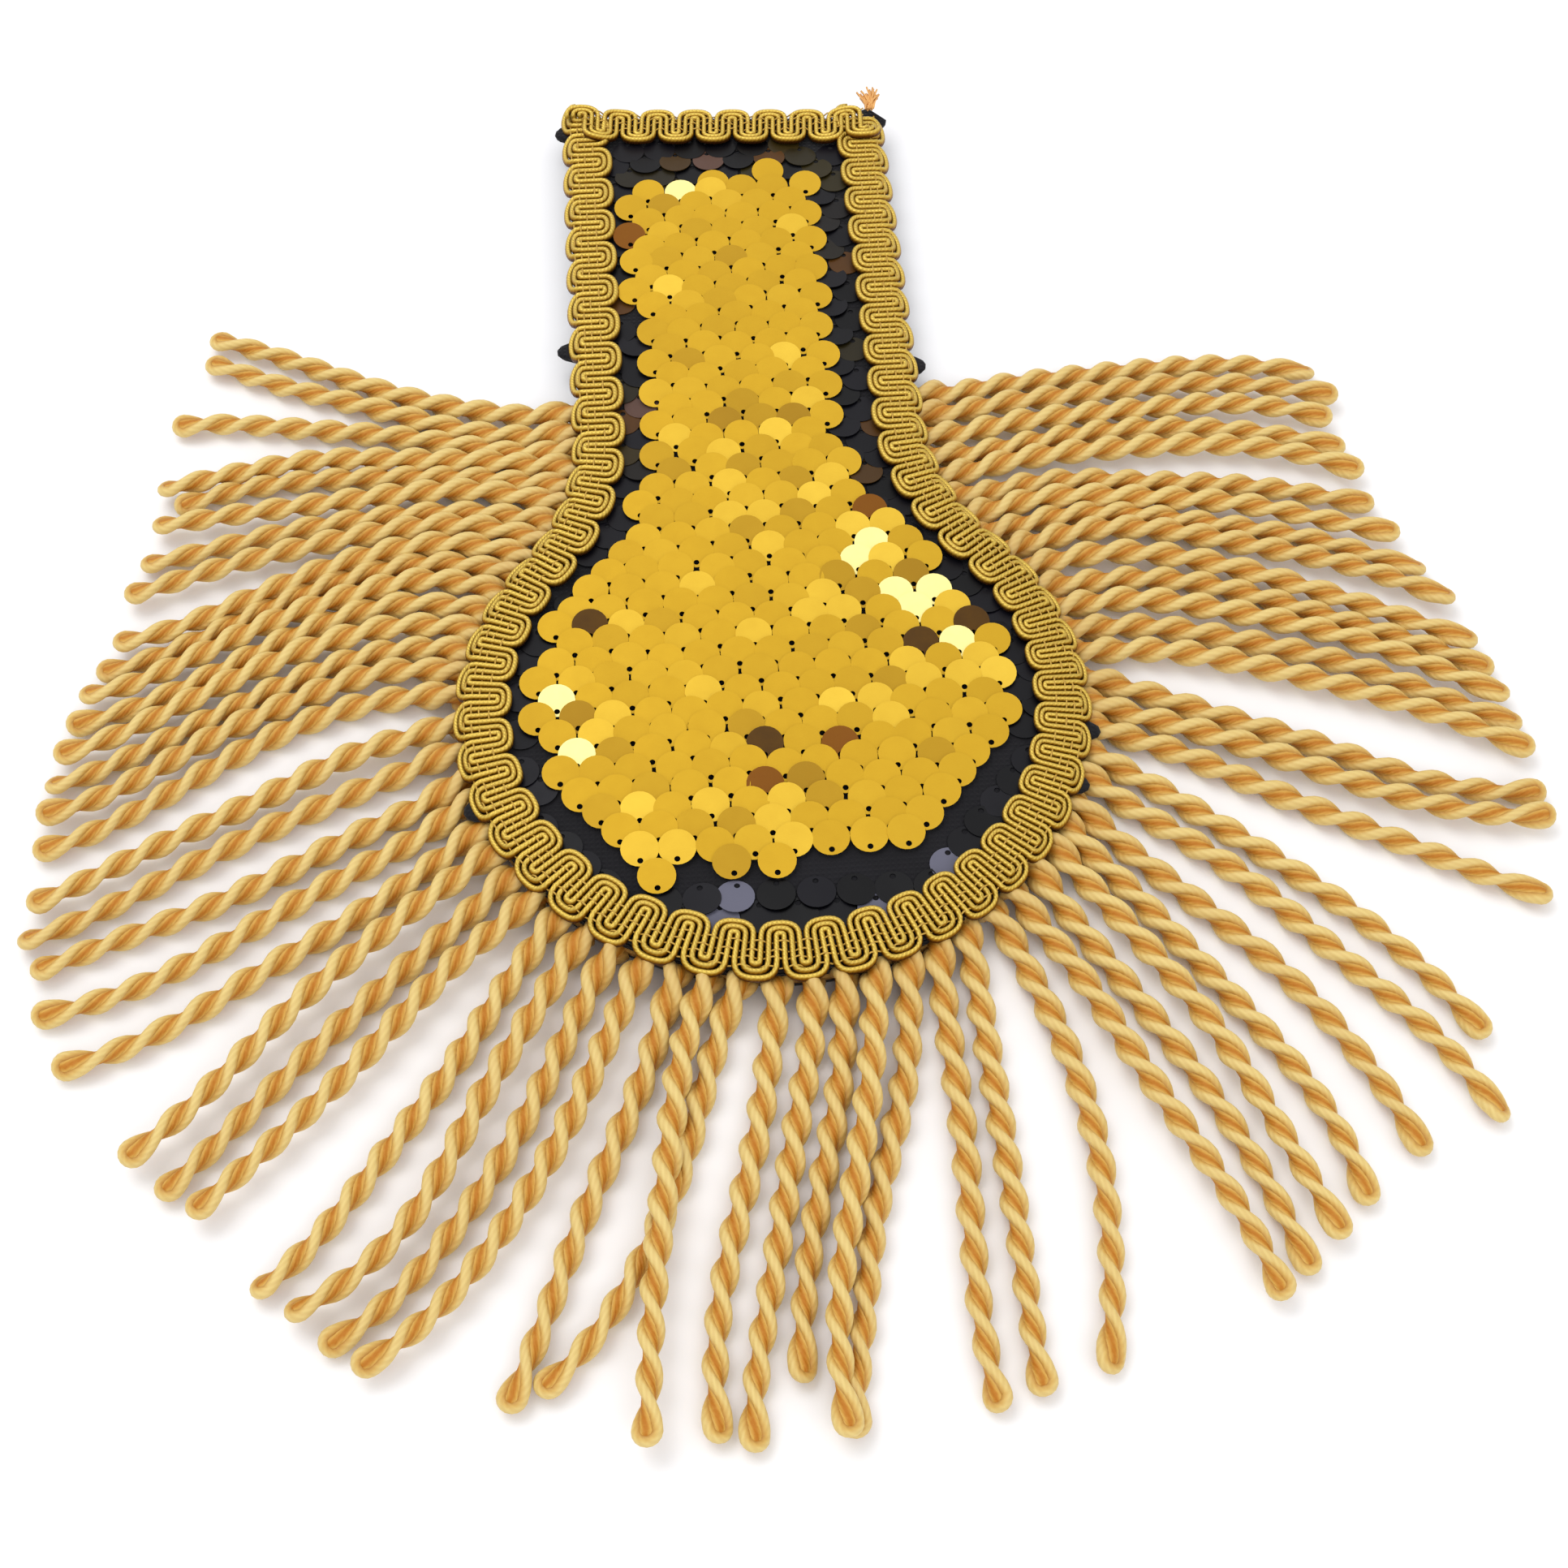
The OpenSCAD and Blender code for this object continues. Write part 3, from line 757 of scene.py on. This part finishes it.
# Black discs that catch the light: the middle of each, and how near to it a disc has to be
GLINTS = [(-9, -33), (-30, -20), (10, -36), (22, -30)]
GLINT_REACH = 2.6
# Tones of a plain, a bright and a dim gold disc, and the shares of bright and of dim ones
PLAIN_TONE = 0.5
BRIGHT_TONE = 0.64
DIM_TONE = 0.42
PAD_SHARES = (0.14, 0.07)
STRAP_SHARES = (0.05, 0.04)
# Odd discs above the one tone lean less than the rest, and those below the other lean more
GLARE_TONE = 0.9
GLARE_LEAN = -1.5
DARK_TONE = 0.3
DARK_LEAN = 1.2
# How far a gold disc strays from its place
STRAY = 0.18
# Lean of a black disc, of one that the braid holds down, and how much they vary
BLACK_TILT = 5.5
HELD_TILT = 2.0
TILT_VARY = 0.6
# The highest tone of a black disc on the strap, which starts at this y, and on the pad
STRAP_FROM = NECK_Y * 0.8
STRAP_TONE = 0.9
PAD_TONE = 0.5


def near(point, places, reach=1.9):
    return any(math.dist(point, place) < reach for place in places)


def gold_disc(shape, middle):
    tone, more, roll = PLAIN_TONE + RNG.gauss(0, 0.018), RNG.gauss(0, 0.5), RNG.gauss(0, 0.6)
    chance = RNG.random()
    bright, dim = PAD_SHARES if middle[1] < PAD_R else STRAP_SHARES
    if chance < bright:
        tone = BRIGHT_TONE
    elif chance > 1 - dim:
        tone = DIM_TONE
    # Odd discs take the tone of their painted highlight or shade.
    for odd, places in ODD_GOLD.items():
        if near(middle, places):
            tone = odd
            if odd > GLARE_TONE:
                more = GLARE_LEAN
            elif odd < DARK_TONE:
                more = DARK_LEAN
    spot = (middle[0] + RNG.gauss(0, STRAY), middle[1] - SEQUIN_R + RNG.gauss(0, STRAY))
    disc(shape, spot, GROUND_Z, 1, SEQUIN_TILT + more, roll, RNG.gauss(0, 3), RNG.uniform(-0.03, 0.03), tone)


def black_disc(shape, spot):
    middle = (spot[0], spot[1] - SEQUIN_R)
    under = not inside(middle, BRAID_W + SEQUIN_R)
    tilt = (HELD_TILT if under else BLACK_TILT) + RNG.gauss(0, TILT_VARY)
    tone = RNG.random() * (STRAP_TONE if spot[1] > STRAP_FROM else PAD_TONE)
    # A disc that catches the light takes the painted glint.
    if near(middle, GLINTS, GLINT_REACH):
        tone = 1.0
    disc(shape, spot, CLOTH_Z[1] + BLACK_GAP, -1, tilt, RNG.gauss(0, 1.5), RNG.gauss(0, 4),
         RNG.uniform(-0.04, 0.06), tone)


def make_sequins():
    gold, black = Shape(), Shape()
    for spot in spots():
        if is_gold(spot):
            gold_disc(gold, (spot[0], spot[1] + SEQUIN_R))
        elif inside((spot[0], spot[1] - BLACK_DROP), BRAID_W - BLACK_UNDER):
            black_disc(black, spot)
    for middle in MORE_GOLD:
        gold_disc(gold, middle)
    gold.piece("gold_sequin_discs", gold_sequin_paint(), "gold_sequins", "gold_sequins", sharp=35)
    black.piece("black_sequin_discs", black_sequin_paint(), "black_sequins", sharp=35)


# The fringe

ROOT_START = HALF_W + STRAP_L - (NECK_Y + FRINGE_RUN)
ROOT_SPAN = 2 * (sum(stretches(0)) - ROOT_START)


def fringe_edge(share, d):
    """The edge at a share of the fringe's span, moved inwards by d, and the heading out."""
    x, y, out = edge(ROOT_START + share * ROOT_SPAN, 0)
    return np.array([x, y]) - d * along(out), out


def strand_controls(i):
    k = i
    for strands, _, first, last, size_0, size_1, bow_0, bow_1, ride in LOCKS:
        if k < strands:
            break
        k -= strands
    share = k / (strands - 1) if strands > 1 else 0
    root, out = fringe_edge((ROOMS[:i].sum() + ROOMS[i] / 2) / ROOMS.sum(), ROOT_IN)
    heading = first + (last - first) * share
    size = (size_0 + (size_1 - size_0) * share) * FRINGE_L
    turn = (heading - out + 540) % 360 - 180
    tip = root + size * along(heading)
    bow = size * along(heading + 90)
    rise = (1 - k % 2) * ride * STRAND_D
    return [root, root + HANDLE * size * along(out) + bow_0 * bow,
            tip - HANDLE * size * along(heading + END_TURN * turn) + bow_1 * bow, tip], rise


def strand_axis(i):
    """Middle line of a strand at equal steps, and how far along each point is, in millimetres."""
    c, ride = strand_controls(i)
    t = np.linspace(0, 1, 161)[:, None]
    flat = (1 - t) ** 3 * c[0] + 3 * (1 - t) ** 2 * t * c[1] + 3 * (1 - t) * t * t * c[2] + t ** 3 * c[3]
    length = np.r_[0, np.cumsum(np.linalg.norm(np.diff(flat, axis=0), axis=1))]
    total = length[-1] - LOOP_R - LOOP_PLY
    at = np.linspace(0, total, int(total / STRAND_STEP) + 1)
    x, y = np.interp(at, length, flat[:, 0]), np.interp(at, length, flat[:, 1])
    share = np.interp(at, length, t[:, 0])
    tape_mid = TAPE_Z[0] + TAPE_T / 2
    drop = STRAND_D / 2 + TABLE_GAP - TAPE_Z[0] - TAPE_T / 2
    z = tape_mid + drop * smooth(share / LEAVE_SHARE)
    rise = ROOT_RISE * smooth(at / RISE_RUN) * (1 - smooth((at - RISE_RUN) / FALL_RUN))
    z = z + ride * smooth(share / CLIMB_SHARE) + rise
    wave = np.sin(at / RNG.uniform(*SWAY_WAVE) + RNG.uniform(0, 6.28))
    sway = SWAY * wave * smooth(at / SWAY_START)
    way = np.gradient(np.column_stack([x, y]), axis=0)
    way /= np.linalg.norm(way, axis=1)[:, None]
    side = np.column_stack([-way[:, 1], way[:, 0]])
    x, y = x + sway * side[:, 0], y + sway * side[:, 1]
    return np.column_stack([x, y, z]), at


def strand(plies, cores, i):
    """One cord: down the strand, round its looped end and back up, twisted on itself."""
    axis, at = strand_axis(i)
    way = np.gradient(axis, axis=0)
    way /= np.linalg.norm(way, axis=1)[:, None]
    side = np.cross((0, 0, 1.0), way)
    side /= np.linalg.norm(side, axis=1)[:, None]
    up = np.cross(way, side)
    left = at[-1] - at
    slow = smooth(left / LOOP_RUN)
    pitch = TWIST * RNG.uniform(*TWIST_VARY)
    turn = np.cumsum(np.r_[0, np.diff(at)] * (0.5 + 0.5 * slow)) * 2 * math.pi / pitch
    # The loop at the end lies nearly flat, so the twist is counted back from there.
    theta = math.radians(RNG.uniform(-LOOP_TIP, LOOP_TIP)) + turn[-1] - turn
    by_root = ROOT_THICK + (1 - ROOT_THICK) * smooth((at - THICK_RUN) / THIN_RUN)
    by_tip = 1 + (TIP_THICK - 1) * smooth(at / at[-1] * 1.6 - 0.6)
    grow = by_root * by_tip
    spread = (LOOP_R + (PLY_SPREAD - LOOP_R) * slow) * grow
    thick = (LOOP_PLY + (PLY_R - LOOP_PLY) * slow) * grow
    out = np.cos(theta)[:, None] * side + np.sin(theta)[:, None] * up
    bend = np.linspace(0, math.pi, 9)[1:-1]
    tip_out = np.cos(bend)[:, None] * out[-1] + np.sin(bend)[:, None] * way[-1]
    tip = axis[-1] + spread[-1] * tip_out
    path = np.vstack([axis + spread[:, None] * out, tip, (axis - spread[:, None] * out)[::-1]])
    outs = np.vstack([out, tip_out, -out[::-1]])
    radius = np.r_[thick, np.full(len(bend), thick[-1]), thick[::-1]]
    # Chance darkens a strand a little, and its root is darkened as painted shade.
    tone = RNG.random() ** 2 * STRAND_TONE + ROOT_SHADE * (1 - smooth(at / ROOT_SHADE_RUN))
    tones = np.r_[tone, np.full(len(bend), tone[-1]), tone[::-1]]
    plies.tube(path, outs, radius, radius, PLY_SIDES, tones)
    tips = np.array(CORE_REACH)[:, None] * spread[-1]
    close = np.array(CORE_CLOSE)
    rings = len(CORE_CLOSE)
    core = np.vstack([axis, axis[-1] + tips * way[-1]])
    core_out = np.vstack([out, np.repeat(out[-1:], rings, axis=0)])
    core_tone = np.r_[tone, np.full(rings, tone[-1])]
    cores.tube(core, core_out, np.r_[spread, close * spread[-1]], CORE_R * np.r_[grow, close],
               CORE_SIDES, core_tone)


def make_fringe():
    paint = ply_paint()
    cores = Shape()
    for part, (first, last) in enumerate(((0, SECOND_PIECE), (SECOND_PIECE, STRAND_N))):
        shape = Shape()
        for i in range(first, last):
            strand(shape, cores, i)
        nodes = ["bullion_fringe"] if part == 0 else []
        shape.piece("bullion_strands_" + "ab"[part], paint, "bullion_cord", *nodes)
    cores.piece("bullion_cores", core_paint(), "bullion_cord")
    tape = Shape()
    n = 2 * STRAND_N
    rows = []
    for k in range(n + 1):
        outer, out = fringe_edge(k / n, TAPE_IN)
        inner = outer - TAPE_W * along(out)
        low, high = TAPE_Z
        rows.append([(*inner, low), (*outer, low + TAPE_SOFT), (*outer, high - TAPE_SOFT), (*inner, high)])
    points = np.array(rows, float).reshape(-1, 3)
    faces = [[j * 4 + k, (j + 1) * 4 + k, (j + 1) * 4 + (k + 1) % 4, j * 4 + (k + 1) % 4]
             for j in range(n) for k in range(4)]
    faces += [[0, 1, 2, 3], [n * 4 + 3, n * 4 + 2, n * 4 + 1, n * 4]]
    tape.add(points, faces)
    tape.piece("heading_tape", tape_paint(), "bullion_cord")


# The braid

SIDE_RUN = sum(stretches(BRAID_MID)) - stretches(BRAID_MID)[0]


def side_line(s):
    """Middle line of the braid's long run, from the top of the left side round the pad to the
    top of the right side, with the heading that faces out."""
    start = stretches(BRAID_MID)[0]
    if s < 0 or s > 2 * SIDE_RUN:
        over = -s if s < 0 else s - 2 * SIDE_RUN
        x = (BRAID_MID - HALF_W) * (1 if s < 0 else -1)
        top = skewed((x, STRAP_L - BRAID_MID))[1]
        return np.array([x, top + over]), (180.0 if s < 0 else 0.0)
    x, y, out = edge(start + s, BRAID_MID)
    return np.array([x, y]), out


def end_line(s):
    """Middle line of the short run across the strap's end, from left to right."""
    x = -HALF_W + s
    y = skewed((x, STRAP_L - BRAID_MID))[1] - END_IN
    return np.array([x, y]), 90.0 - math.degrees(math.atan(END_SKEW / STRAP_W))


def turns_of(first, last, pitch_at):
    """Lengths along a run where the braid turns back, half a pitch apart."""
    at = [first]
    while at[-1] < last:
        at.append(at[-1] + pitch_at(at[-1]) / 2)
    spare = (last - at[-1]) / (len(at) - 1)
    return [place + k * spare for k, place in enumerate(at)]


def run_of_braid(shape, warps, line, turns, lift, width, drape):
    """Three cords along a line, that turn back at the lengths turns, and the warp threads."""
    mid_z = (BRAID_Z[0] + BRAID_Z[1]) / 2
    halves = np.gradient(np.array(turns))
    for cord in (-1, 0, 1):
        points, halves_wide = [], []
        for k, (centre, half) in enumerate(zip(turns, halves)):
            way = 1 if k % 2 == 0 else -1
            gap = half / CORDS
            reach = width / 2 - TURN_FLAT * half
            r = half / 2 + cord * gap * way
            steps = 6 + round(2.6 * r)
            for a in np.linspace(0, math.pi, steps + 1):
                s = centre - r * math.copysign(abs(math.cos(a)) ** TURN_SQUARE, math.cos(a))
                w = way * (reach + TURN_FLAT * r * math.sin(a) ** TURN_SQUARE)
                middle, out = line(s)
                bulge = CORD_WAVE * math.cos(2 * math.pi * w / width)
                sag = drape * smooth((w - DRAPE_FROM) / DRAPE_RUN)
                points.append((*(middle + w * along(out)), mid_z - bulge - sag + lift(s)))
                halves_wide.append(gap / 2 * CORD_FILL)
        shape.tube(points, (0, 0, 1.0), CORD_HIGH, np.array(halves_wide), CORD_SIDES, RNG.random() * 0.3)
    for w in WARPS:
        points = []
        for k, s in enumerate(np.linspace(turns[0], turns[-1], 4 * len(turns))):
            middle, out = line(s)
            sag = drape * smooth((w - DRAPE_FROM) / DRAPE_RUN)
            over = WARP_OVER + WARP_WAVE * math.sin(math.pi * k / 2 + w) - sag
            points.append((*(middle + w * along(out)), mid_z + over + lift(s)))
        warps.tube(points, (0, 0, 1.0), WARP_R, WARP_R, 5)


def make_braid():
    def pitch_at(s):
        return np.interp(s / 2 / SIDE_RUN, *zip(*PITCHES))

    def over_corner(s):
        away = np.array(min(s, STRAP_W - s) - CORNER_FROM)
        return CORNER_RISE * (1 - smooth(away / CORNER_RUN))

    cords, warps = Shape(), Shape()
    long_run = turns_of(-RUN_OVER, 2 * SIDE_RUN + RUN_OVER, pitch_at)
    run_of_braid(cords, warps, side_line, long_run, lambda s: 0.0, BRAID_W, DRAPE)
    short_run = turns_of(END_START, STRAP_W - END_START, lambda s: LOOP_PITCH)
    run_of_braid(cords, warps, end_line, short_run, over_corner, BRAID_W * END_WIDTH, 0.0)
    cords.piece("gimp_cords", gimp_paint(), "gold_gimp", "gimp_braid")
    warps.piece("gimp_warp_threads", warp_paint(), "gold_gimp")


# The frayed end: how many threads, where they start from the middle of the outer edge of the
# braid's end, their heading and its spread, their lengths, and half their thickness
FRAY_N = 44
FRAY_AT = (1.9, -5.4)
FRAY_HEADING = 86
FRAY_SPREAD = 14
FRAY_L = (2.6, 4.4)
FRAY_R = (0.2, 0.17)


def make_frayed_end():
    """Loose filaments where the braid's end is cut, over the strap's right corner."""
    shape = Shape()
    low, high = (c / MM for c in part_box("braid_end"))
    root = np.array([(low.x + high.x) / 2 + FRAY_AT[0], high.y + FRAY_AT[1], (low.z + high.z) / 2])
    for _ in range(FRAY_N):
        heading = math.radians(FRAY_HEADING + RNG.uniform(-FRAY_SPREAD, FRAY_SPREAD))
        size = RNG.uniform(*FRAY_L)
        rise = RNG.uniform(-0.2, 0.15)
        sag = RNG.uniform(-0.35, 0.35)
        points = []
        for t in np.linspace(0, 1, 7):
            away = np.array([math.cos(heading + sag * t), math.sin(heading + sag * t), rise * t])
            points.append(root + size * t * away)
        start = np.array([RNG.uniform(-0.7, 0.7), RNG.uniform(-1.4, 0.2), RNG.uniform(-0.3, 0.3)])
        shape.tube(np.array(points) + start, (0, 0, 1.0), *FRAY_R, 5, RNG.random() * 0.5)
    # Each filament is pale on top as a painted highlight and deep underneath as painted shade.
    colours = rgb(240, 184, 108), rgb(224, 148, 62), rgb(170, 92, 26)
    paint = cord_paint("frayed_yarn", colours, (0.4, 0.6, 0.8), 2, 0.3, 0.5, 0.1)
    shape.piece("frayed_filaments", paint.material, "frayed_gimp", "braid_end")


# Setting

CAMERA_PLACE = (-13.1, -199.6, 281.0)
CAMERA_HEADING = 4.21
CAMERA_PITCH = 56.0
LENS = 54.88
# Half the side of the floor, in metres
FLOOR_HALF = 3.0


def make_camera():
    data = bpy.data.cameras.new("camera")
    data.lens = LENS
    data.sensor_width = 36.0
    data.clip_start = 0.01
    camera = bpy.data.objects.new("camera", data)
    bpy.context.scene.collection.objects.link(camera)
    h, p = math.radians(CAMERA_HEADING), math.radians(CAMERA_PITCH)
    look = Vector((math.sin(h) * math.cos(p), math.cos(h) * math.cos(p), -math.sin(p)))
    camera.location = Vector(CAMERA_PLACE) * MM
    camera.rotation_euler = look.to_track_quat("-Z", "Y").to_euler()
    bpy.context.scene.camera = camera


def make_floor():
    mesh = bpy.data.meshes.new("floor")
    half = FLOOR_HALF
    corners = [(-half, -half, 0), (half, -half, 0), (half, half, 0), (-half, half, 0)]
    mesh.from_pydata(corners, [], [(0, 1, 2, 3)])
    mesh.materials.append(floor_paint())
    floor = bpy.data.objects.new("floor", mesh)
    bpy.context.scene.collection.objects.link(floor)


def area_light(name, place, target, size, power, colour=(1, 1, 1)):
    data = bpy.data.lights.new(name, "AREA")
    data.shape = "RECTANGLE"
    data.size, data.size_y = size
    data.energy = power
    data.color = colour
    light = bpy.data.objects.new(name, data)
    bpy.context.scene.collection.objects.link(light)
    light.location = place
    light.rotation_euler = (Vector(target) - Vector(place)).to_track_quat("-Z", "Y").to_euler()


def make_light():
    world = bpy.data.worlds.new("studio")
    world.use_nodes = True
    background = world.node_tree.nodes["Background"]
    background.inputs[0].default_value = (1.0, 1.0, 1.0, 1.0)
    background.inputs[1].default_value = 0.92
    bpy.context.scene.world = world
    area_light("key", (-0.35, 0.3, 0.95), (0, 0, 0), (0.7, 0.6), 3.6)
    area_light("front", (0.3, -0.75, 0.7), (0, 0, 0), (0.8, 0.4), 2.0)
    bpy.context.scene.view_settings.view_transform = "Standard"


make_camera()
make_floor()
make_light()
make_felt()
dress_board()
make_cloth()
make_sequins()
make_fringe()
make_braid()
make_frayed_end()
